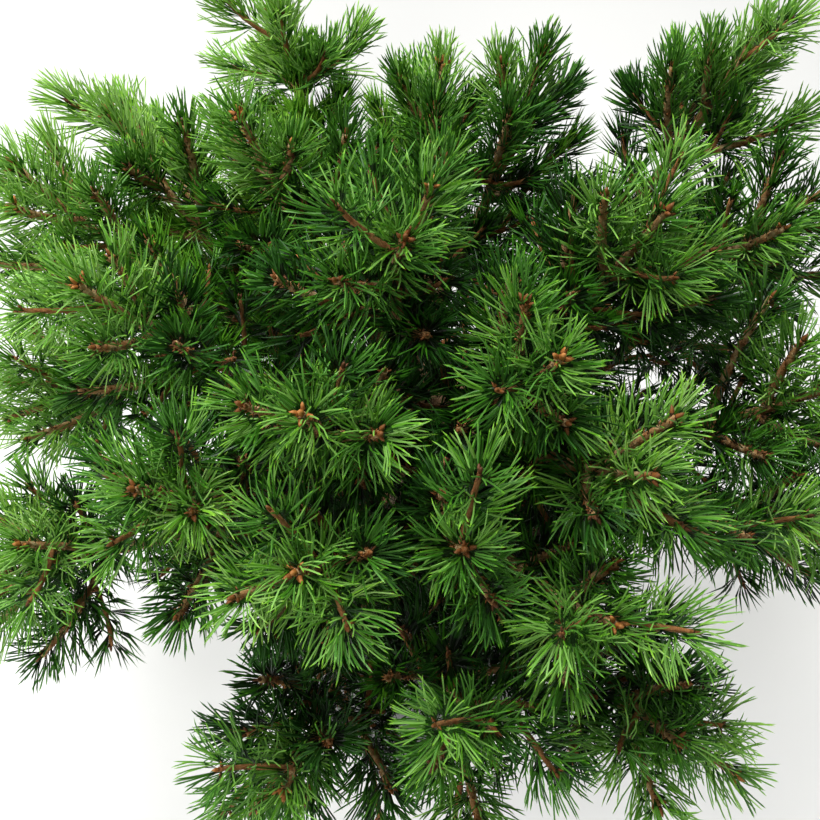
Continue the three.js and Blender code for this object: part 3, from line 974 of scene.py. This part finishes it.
def tube(path, radius, kind, seed):
    """A closed limb round a path, each point pushed in or out by its relief."""
    sides, step, relief = TUBES[kind]
    rings = max(3, int(path.length() / step) + 1)
    shift = Vector((seed, 2 * seed, 3 * seed))
    points = []
    for i in range(rings):
        share = i / (rings - 1)
        centre, thick = path.point(share), radius(share)
        side, other = path.across(share)
        for j in range(sides):
            turn = tau * j / sides
            way = cos(turn) * side + sin(turn) * other
            rough = relief(centre + way * thick, share, turn, shift)
            points.append(centre + way * (thick + rough))
    last = (rings - 1) * sides
    points += [path.point(0), path.point(1)]
    faces = ring_faces(rings, sides)
    faces += [(j, len(points) - 2, (j + 1) % sides) for j in range(sides)]
    faces += [(last + (j + 1) % sides, len(points) - 1, last + j) for j in range(sides)]
    return points, faces


def bud(root, axis, length):
    """One pointed bud, with foot, body and tip looks."""
    half_width = BUD_WIDTH_SHARE * length
    side = axis.orthogonal().normalized()
    other = axis.cross(side)
    points = []
    for height, width in BUD_RINGS:
        for j in range(BUD_SIDES):
            turn = tau * (j + height) / BUD_SIDES
            way = cos(turn) * side + sin(turn) * other
            points.append(root + axis * length * height + way * half_width * width)
    points.append(root + axis * length)
    faces = ring_faces(len(BUD_RINGS), BUD_SIDES)
    last = (len(BUD_RINGS) - 1) * BUD_SIDES
    faces += [(last + j, last + (j + 1) % BUD_SIDES, last + BUD_SIDES)
              for j in range(BUD_SIDES)]
    kinds = [min(2, i // (2 * BUD_SIDES)) for i in range(len(faces))]
    return points, faces, np.array(kinds)


def bud_cluster(batch, path, vigour, rng):
    """A leading bud with others leaning round it."""
    tip, axis = path.end, path.tangent(1)
    around = int(round(SIDE_BUDS * vigour + rng.uniform(0, 1)))
    length = (BUD_LENGTHS[0] + BUD_LENGTHS[1] * vigour) * MM
    ring_turn = rng.uniform(0, tau)
    # Brighter browns on vigorous, open shoots: partly the buds' own colour, partly painted light
    brown = round(vigour * BROWNING + rng.normal(0, BROWN_JITTER))
    brown = int(np.clip(brown, 0, len(BUD_BROWNS) - 1))
    for i in range(around + 1):
        way, size = axis, 1.0
        if i:
            turn = ring_turn + tau * (i + rng.uniform(*BUD_TURNS)) / around
            way = path.leaning(1, radians(rng.uniform(*BUD_LEAN)), turn)
            size = rng.uniform(*SIDE_BUD_SIZES)
        root = tip + (way - axis) * BUD_OUT * MM - axis * BUD_SUNK * MM
        points, faces, kinds = bud(root, way.normalized(), length * size)
        batch.add(points, faces, kinds + 3 * brown)


def scale_points(path, share, radius, rng):
    """One slim pointed scale that leans off a twig."""
    turn = rng.uniform(0, tau)
    way = path.leaning(share, radians(rng.uniform(*SCALE_LEAN)), turn)
    out = path.leaning(share, pi / 2, turn)
    side = way.cross(out).normalized() * SCALE_HALF_WIDTH * rng.uniform(*SCALE_WIDTHS)
    root = path.point(share) + out * radius * SCALE_ROOT
    return [root - side, root + side, root + out * SCALE_HALF_WIDTH,
            root + way * rng.uniform(*SCALE_LENGTHS)]


def add_scales(batch, path, rank, rng):
    """Scales round the foot of a shoot, and thicker towards its tip."""
    collar, along = SCALES[rank]
    radius = taper(*RADII[rank])
    foot, reach = [size / path.length(ROUGH_STEPS) for size in COLLAR]
    shares = [foot + reach * rng.random() for _ in range(collar)]
    shares += [SCALES_FROM + SCALES_OVER * sqrt(rng.random()) for _ in range(along)]
    for share in shares:
        points = scale_points(path, share, radius(share), rng)
        batch.add(points, SCALE_FACES, rng.choice(SCALE_LOOKS))


# Shapes of the pot and the soil

def arc(x, y, radius, low, high, steps):
    """Points on an arc, its angles in degrees."""
    angles = [radians(low + (high - low) * i / steps) for i in range(steps + 1)]
    return [(x + radius * cos(angle), y + radius * sin(angle)) for angle in angles]


def solid(name, points, faces):
    mesh = bpy.data.meshes.new(name)
    mesh.from_pydata(points, [], faces)
    mesh.update()
    return placed(name, mesh)


def lathe(name, profile, sides, shape):
    """A closed solid turned from a profile, each point moved by shape to where it belongs."""
    points = [(0, 0, profile[0][1]), (0, 0, profile[-1][1])]
    for radius, height in profile[1:-1]:
        points += [shape(radius, height, tau * j / sides) for j in range(sides)]
    last = 2 + (len(profile) - 3) * sides
    faces = []
    for j in range(sides):
        after = (j + 1) % sides
        faces.append((0, 2 + after, 2 + j))
        faces += [(low + j, low + after, low + sides + after, low + sides + j)
                  for low in range(2, last, sides)]
        faces.append((last + j, last + after, 1))
    return solid(name, points, faces)


def smooth(piece, angle, material, slot):
    """Smooth shading, with an edge kept sharp where it turns by more than an angle."""
    mesh = piece.data
    mesh.polygons.foreach_set("use_smooth", [True] * len(mesh.polygons))
    mesh.set_sharp_from_angle(angle=radians(angle))
    mesh.materials.append(material)
    ride(piece, slot, [slot])


def prism(points):
    """A closed prism between two rings, whose points are listed one ring after the other."""
    count = len(points) // 2
    faces = [tuple(reversed(range(count))), tuple(range(count, 2 * count))]
    faces += [(i, (i + 1) % count, count + (i + 1) % count, count + i) for i in range(count)]
    return points, faces


def cut(piece, prisms):
    """Cuts prisms, which lie apart, out of a piece."""
    points, faces = [], []
    for prism_points, prism_faces in prisms:
        faces += [tuple(i + len(points) for i in face) for face in prism_faces]
        points += prism_points
    cutter = solid("cutter", points, faces)
    modifier = piece.modifiers.new("cut", "BOOLEAN")
    modifier.object = cutter
    modifier.solver = "EXACT"
    shaped = piece.evaluated_get(bpy.context.evaluated_depsgraph_get())
    mesh = bpy.data.meshes.new_from_object(shaped)
    piece.modifiers.clear()
    piece.data = mesh
    bpy.data.objects.remove(cutter)


def outer_radius(height):
    return POT_BASE_RADIUS + (POT_TOP_RADIUS - POT_BASE_RADIUS) * height / POT_HEIGHT


def inner_radius(height):
    return outer_radius(height) - POT_WALL


def wall_points(radius, heights, step=0):
    """Points at these heights, a step out from the wall."""
    return [(radius(height) + step, height) for height in heights]


def pot_profile():
    """From the middle of the underside, out and up the wall, and back down inside."""
    foot, rim = POT_BASE_RADIUS, POT_TOP_RADIUS + RIM_OVERHANG
    under = POT_HEIGHT - RIM_HEIGHT
    wall, inside, floor = outer_radius(under), inner_radius(POT_HEIGHT), inner_radius(POT_FLOOR)
    return [
        (0, BASE_RECESS),
        *[(foot - inset, BASE_RECESS) for inset in RECESS_INSETS],
        *arc(foot - RECESS_EDGE, BASE_RECESS, BASE_RECESS, 180, 270, 4),
        *arc(foot - FOOT_ROUND, FOOT_ROUND, FOOT_ROUND, 270, 360, 5),
        *wall_points(outer_radius, [*WALL_BELOW_LEDGE, LEDGE_HEIGHT]),
        (outer_radius(LEDGE_HEIGHT) + LEDGE_STEP, LEDGE_HEIGHT + EDGE),
        *wall_points(outer_radius, WALL_OVER_LEDGE, LEDGE_STEP),
        *arc(wall + LEDGE_STEP + RIM_FILLET, under - RIM_FILLET, RIM_FILLET, 180, 90, 4),
        *arc(wall + RIM_OVERHANG - EDGE, under + EDGE, EDGE, -90, 0, 4),
        *wall_points(outer_radius, [under + rise for rise in RIM_BAND], RIM_OVERHANG),
        *[(rim - inset, POT_HEIGHT - drop) for inset, drop in LIP_GROOVE],
        *arc(rim - LIP_ROUND, POT_HEIGHT - LIP_ROUND, LIP_ROUND, -30, 90, 7),
        *arc(inside + INNER_ROUND, POT_HEIGHT - INNER_ROUND, INNER_ROUND, 90, 180, 4),
        *wall_points(inner_radius, WALL_INSIDE),
        *arc(floor - FLOOR_ROUND, POT_FLOOR + FLOOR_ROUND, FLOOR_ROUND, 0, -90, 4),
        (FLOOR_RING, POT_FLOOR),
        (0, POT_FLOOR),
    ]


def drain_slot(turn):
    """A slot with a round top, standing across the foot of the wall."""
    half = DRAIN_WIDTH / 2
    outline = [(-half, -EDGE), (half, -EDGE), *arc(0, DRAIN_HEIGHT - half, half, 0, 180, 8)]
    way = Vector((cos(turn), sin(turn), 0))
    side = Vector((-sin(turn), cos(turn), 0))
    return prism([way * (POT_BASE_RADIUS + reach) + side * across + UP * height
                  for reach in (-DRAIN_DEPTH, DRAIN_DEPTH) for across, height in outline])


def base_hole(turn):
    centre = Vector((cos(turn), sin(turn), 0)) * BASE_HOLE_PLACE
    return prism([centre + Vector((x, y, height)) for height in (-EDGE, 2 * POT_FLOOR)
                  for x, y in arc(0, 0, BASE_HOLE_RADIUS, 0, 345, 23)])


def pot_shape(radius, height, turn):
    """The wall bows, more so towards its top."""
    bow = sum(size * cos(lobes * turn + start) for size, lobes, start in BOWS)
    wide = radius + bow * height / POT_HEIGHT * min(1, radius / POT_BASE_RADIUS)
    return (wide * cos(turn), wide * sin(turn), height)


def from_trunk(x, y):
    return hypot(x - TRUNK_FOOT[0], y - TRUNK_FOOT[1])


def soil_height(x, y):
    """Lumpy, raised round the trunk and sunk a little at the wall."""
    mound = MOUND_HEIGHT * exp(-(from_trunk(x, y) / MOUND_REACH) ** 2)
    dip = WALL_DIP * max(0, gone(hypot(x, y) / inner_radius(SOIL_LEVEL), DIP_GROWS))
    return SOIL_LEVEL - SOIL_SUNK + mound - dip + bumps(Vector((x, y, 0)), SOIL_LUMPS)


# The corners of a ball of twenty faces, and how near to each other neighbours are
BALL_RATIO = (1 + sqrt(5)) / 2
BALL = np.array([corner for a in (-1, 1) for b in (-BALL_RATIO, BALL_RATIO)
                 for corner in ((0, a, b), (a, b, 0), (b, 0, a))])
BALL_EDGE = 2.1


def ball_faces():
    """Each three corners that are neighbours, turned to face out."""
    near = np.linalg.norm(BALL[:, None] - BALL[None], axis=2) < BALL_EDGE
    faces = []
    for a, b, c in itertools.combinations(range(len(BALL)), 3):
        if near[a, b] and near[b, c] and near[a, c]:
            outward = np.cross(BALL[b] - BALL[a], BALL[c] - BALL[a]) @ BALL[a] > 0
            faces.append((a, b, c) if outward else (a, c, b))
    return faces


def crumb(centre, size, rng):
    """The ball with its corners pulled about, stretched and turned at random."""
    pulls = rng.uniform(*CRUMB_BUMPS, (len(BALL), 1))
    ball = BALL / np.linalg.norm(BALL[0]) * pulls * size / 2
    turns = (rng.normal(*CRUMB_TILT), rng.normal(*CRUMB_TILT), rng.uniform(0, tau))
    return ball @ np.array(Euler(turns).to_matrix()).T + np.array(centre)


# Pieces of the plant

def openness(points, tips):
    """How open each point is, from 0 under many shoots to 1 outermost."""
    away = points - np.array(tuple(HUB))
    outward = unit(unit(away) + np.array(SKYWARD))
    between = tips[None] - points[:, None]
    ahead = (between * outward[:, None]).sum(2)
    distance = np.linalg.norm(between, axis=2)
    shading = np.clip((ahead - SHADE_FROM) / SHADE_RISE, 0, 1) * (distance < SHADE_REACH)
    return np.exp(-SHADE_STRENGTH * shading.sum(1))


def list_shoots(masses):
    """Gives each mass its shoots, with their rank and openness."""
    ranked = [[(path, rank) for rank in ("main", "fine") for path in mass[rank]]
              for mass in masses]
    tips = np.array([tuple(path.end) for shoots in ranked for path, _ in shoots])
    opens = iter(openness(tips, tips))
    for mass, shoots in zip(masses, ranked):
        mass["shoots"] = [(path, rank, next(opens)) for path, rank in shoots]
    return tips


def gone(value, way):
    """How much of a way, given by its start and length, a value has gone."""
    return (value - way[0]) / way[1]


def painted_shoot_light(end, open_share, rng):
    """Painted light and shade for a shoot's needles, 0 to 1: lit outside, high up and to the back
    left.
    """
    height = gone(end.z, LOW_TO_HIGH)
    back = gone(end.y, FRONT_TO_BACK)
    corner = back ** 2 * limited(gone(end.x, RIGHT_TO_LEFT))
    rim = limited(gone(hypot(end.x, end.y), MIDDLE_TO_RIM), -1)
    sides = HEIGHT_LIGHT * height + BACK_LIGHT * back + CORNER_LIGHT * corner + RIM_LIGHT * rim
    lit = open_share + CORNER_OPENS * corner * (1 - open_share)
    return LEAST_LIGHT + OPEN_LIGHT * lit ** OPEN_POWER + sides + rng.normal(0, LIGHT_JITTER)


def add_needles(batch, sites, needle, light, rng):
    """The needles of one shoot, each bundle painted in a shade near the shoot's painted light."""
    points = needle_points(sites, needle, rng)
    faces, parts = needle_faces(len(points), needle)
    spray = light * BRIGHTEST_BODY + rng.normal(0, SHADE_JITTER, len(sites[0]))
    shades = np.tile(np.clip(np.round(spray), 0, BRIGHTEST_BODY).astype(int), BUNDLE_OF)
    batch.add(points, faces, needle_kinds(shades, parts[None], needle[1]))


def add_young_needles(batch, path, rank, open_share, rng):
    count, zone = YOUNG_NEEDLES[rank]
    needle = FINE_NEEDLE if open_share > OPEN_ABOVE else PLAIN_NEEDLE
    if open_share < HIDDEN_BELOW:
        needle = HIDDEN_NEEDLE
        count = count if rank == "main" else HIDDEN_BUNDLES
    length = NEEDLE_LENGTH * (YOUNG_LENGTH + OPEN_LENGTH * open_share)
    radius = taper(RADII[rank][0], YOUNG_TIP_RADIUS)
    close = limited(path.end.y / CLOSE_BEYOND)
    angles = [wide + (near - wide) * close for wide, near in zip(OPEN_ANGLES, CLOSE_ANGLES)]
    sites = bundle_sites(path, radius, zone, count, length, rng, angles)
    add_needles(batch, sites, needle, painted_shoot_light(path.end, open_share, rng), rng)


def add_old_needles(batch, path, radius, rng):
    whole = path.length()
    sites = bundle_sites(path, taper(radius, radius), whole, int(whole / OLD_BUNDLE_STEP),
                         OLD_LENGTH, rng, OLD_ANGLES)
    # Painted shade: coloured as a shoot with no openness, and darker still
    light = painted_shoot_light(path.end, 0, rng) - OLD_PAINTED_SHADE
    add_needles(batch, sites, HIDDEN_NEEDLE, light, rng)


def shaded_stretches(mass, tips):
    """The bare stretches of limbs that lie deep enough to keep their older needles."""
    stretches = []
    for path in mass["main"]:
        bare = 1 - YOUNG_NEEDLES["main"][1] / path.length()
        if bare > OLD_LEAST_STRETCH:
            stretches.append((path.stretch(OLD_SHOOT_FROM, bare), SIDE_RADIUS, OLD_OPEN_SHOOT))
    for bough in mass["boughs"]:
        start, end = OLD_BOUGH_BETWEEN
        middle = (1 + start) / 2
        stretches += [(bough.stretch(low, high), BOUGH_TIP_RADIUS, OLD_OPEN_BOUGH)
                      for low, high in ((start, middle), (middle, end))]
    points = np.array([tuple(path.point(0.5)) for path, _, _ in stretches])
    return [(path, radius) for (path, radius, most_open), open_share
            in zip(stretches, openness(points, tips)) if open_share < most_open]


def mass_needles(mass, tips, rng):
    batch = Batch()
    for path, rank, open_share in mass["shoots"]:
        add_young_needles(batch, path, rank, open_share, rng)
    for path, radius in shaded_stretches(mass, tips):
        add_old_needles(batch, path, radius, rng)
    return batch


def build_needles(masses, rng):
    """The needles, with as many masses to a piece as its triangles allow."""
    tips = list_shoots(masses)
    looks = needle_materials()
    groups = []
    for mass in masses:
        grown = mass_needles(mass, tips, rng)
        if not groups or groups[-1][0].triangles() + grown.triangles() > PIECE_TRIANGLES:
            groups.append((Batch(), []))
        batch, nodes = groups[-1]
        batch.add(*grown.joined())
        nodes.append("needles_" + mass["name"])
    for i, (batch, nodes) in enumerate(groups):
        batch.build(f"needle_sprays_{i + 1}", looks, False, "needles", *nodes)


def build_twigs(masses):
    batch = Batch()
    for i, mass in enumerate(masses):
        for j, path in enumerate(mass["main"]):
            thick, thin = RADII["main"]
            radius = taper(thick if j else STEM_RADIUS, thin)
            batch.add(*tube(path, radius, "main", 3 * i + j), 0)
        for j, path in enumerate(mass["fine"]):
            batch.add(*tube(path, taper(*RADII["fine"]), "fine", j), 1)
    looks = [bark_material("twig_bark"), bark_material("fine_twig_bark")]
    batch.build("twigs", looks, True, "bark")


def build_buds(masses, rng):
    batch = Batch()
    for mass in masses:
        for path, rank, open_share in mass["shoots"]:
            most = BUD_VIGOUR["stem" if path is mass["stem"] else rank]
            vigour = min(1.0, most * (LEAST_VIGOUR + OPEN_VIGOUR * open_share))
            bud_cluster(batch, path, vigour, rng)
    for mass in masses:
        for path, rank, _ in mass["shoots"]:
            add_scales(batch, path, rank, rng)
    looks = [plain_material(f"bud_{i}_{part}", brown, roughness=0.6, specular=0.35)
             for i, browns in enumerate(BUD_BROWNS)
             for part, brown in zip(("foot", "body", "tip"), browns)]
    batch.build("buds", looks, True, "bark")


def build_limbs(limbs):
    batch = Batch()
    trunk, *boughs = limbs
    batch.add(*tube(trunk["path"], trunk["radius"], "trunk", 0), 0)
    for i, limb in enumerate(boughs):
        batch.add(*tube(limb["path"], limb["radius"], "bough", i), 1)
    looks = [bark_material("old_bark"), bark_material("bough_bark")]
    nodes = ["trunk"] + ["bough_" + limb["name"] for limb in boughs]
    batch.build("trunk_and_boughs", looks, True, "bark", *nodes)


def build_pot():
    pot = lathe("nursery_pot", pot_profile(), POT_SIDES, pot_shape)
    slots = [drain_slot(tau * (i + 0.5) / DRAINS) for i in range(DRAINS)]
    holes = [base_hole(tau * i / BASE_HOLES) for i in range(BASE_HOLES)]
    cut(pot, slots + holes)
    smooth(pot, POT_SHARP, pot_material(), "pot")


def build_soil(rng):
    wall = inner_radius(SOIL_LEVEL) - CLEARANCE
    foot = POT_FLOOR + CLEARANCE
    profile = [
        (0, foot),
        (inner_radius(foot) - FLOOR_ROUND, foot),
        *wall_points(inner_radius, (foot + FLOOR_ROUND, SOIL_LEVEL - BURIED), -CLEARANCE),
        *[(wall * share, None) for share in np.linspace(1, 1 / SOIL_RINGS, SOIL_RINGS)],
        (0, soil_height(0, 0)),
    ]

    def shape(radius, height, turn):
        x, y = radius * cos(turn), radius * sin(turn)
        return (x, y, soil_height(x, y) if height is None else height)

    soil = lathe("potting_mix", profile, SOIL_SIDES, shape)
    smooth(soil, SOIL_SHARP, soil_material(), "soil")
    build_crumbs(rng, wall)


def build_crumbs(rng, wall):
    """Bark chips and grit strewn over the soil, but not where the trunk stands."""
    batch, faces = Batch(), ball_faces()
    for count, sizes, kinds in CRUMBS:
        for _ in range(count):
            size = np.array(sizes) * rng.uniform(*CRUMB_SIZES) * MM
            level = (wall - size[0] / 2) * sqrt(rng.uniform(*CRUMB_SPREAD))
            turn = rng.uniform(0, tau)
            x, y = level * cos(turn), level * sin(turn)
            if from_trunk(x, y) < CRUMBS_OFF_TRUNK:
                continue
            centre = (x, y, soil_height(x, y) + CRUMB_RISE * size[2])
            batch.add(crumb(centre, size, rng), faces, rng.choice(kinds))
    batch.build("bark_chips", [chip_material(name) for name in CHIPS], False, "soil")


# Stage, lights and camera

def build_floor():
    rim = [(FLOOR_HALF * x, FLOOR_HALF * y, 0) for x, y in ((-1, -1), (1, -1), (1, 1), (-1, 1))]
    floor = solid("floor", rim, [(0, 1, 2, 3)])
    floor.data.materials.append(floor_material())
    floor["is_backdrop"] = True


def build_lights():
    for name, (shape, place, aim, size, power, spread) in LAMPS.items():
        light = bpy.data.lights.new(name, "AREA")
        light.shape = shape
        light.size, light.size_y = size
        light.energy = power
        light.spread = radians(spread)
        lamp = placed(name, light)
        lamp.location = place
        lamp.rotation_euler = (Vector(aim) - Vector(place)).to_track_quat("-Z", "Y").to_euler()


def build_studio():
    world = bpy.data.worlds.new("studio")
    world.use_nodes = True
    background = world.node_tree.nodes["Background"]
    background.inputs["Color"].default_value = (1, 1, 1, 1)
    background.inputs["Strength"].default_value = STUDIO_GLOW
    bpy.context.scene.world = world
    bpy.context.scene.view_settings.view_transform = "Standard"


def build_camera():
    data = bpy.data.cameras.new("camera")
    data.lens = data.sensor_width * FOCAL_PIXELS / FRAME_PIXELS
    turned = Euler((pi / 2 - CAMERA_RISE, 0, 0))
    camera = placed("camera", data)
    camera.rotation_euler = turned
    camera.location = HUB + turned.to_matrix() @ Vector((AIM_RIGHT, AIM_UP, CAMERA_DISTANCE))
    bpy.context.scene.camera = camera


def corners(bounds):
    return [[float(value) for value in corner] for corner in bounds]


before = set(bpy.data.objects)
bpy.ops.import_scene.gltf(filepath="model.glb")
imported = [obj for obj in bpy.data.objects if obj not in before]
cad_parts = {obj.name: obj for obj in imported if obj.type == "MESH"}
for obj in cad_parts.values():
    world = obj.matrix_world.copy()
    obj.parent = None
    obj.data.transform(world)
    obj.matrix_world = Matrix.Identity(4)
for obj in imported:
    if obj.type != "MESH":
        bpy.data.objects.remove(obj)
cad_box = corners(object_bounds())
limbs = plan_limbs()
masses = plan_crown(limbs)
rng = np.random.default_rng(DETAIL_SEED)
build_needles(masses, rng)
build_twigs(masses)
build_buds(masses, rng)
build_limbs(limbs)
build_pot()
build_soil(rng)
build_floor()
build_lights()
build_studio()
build_camera()
{"cad": cad_box, "visual": corners(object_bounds())}
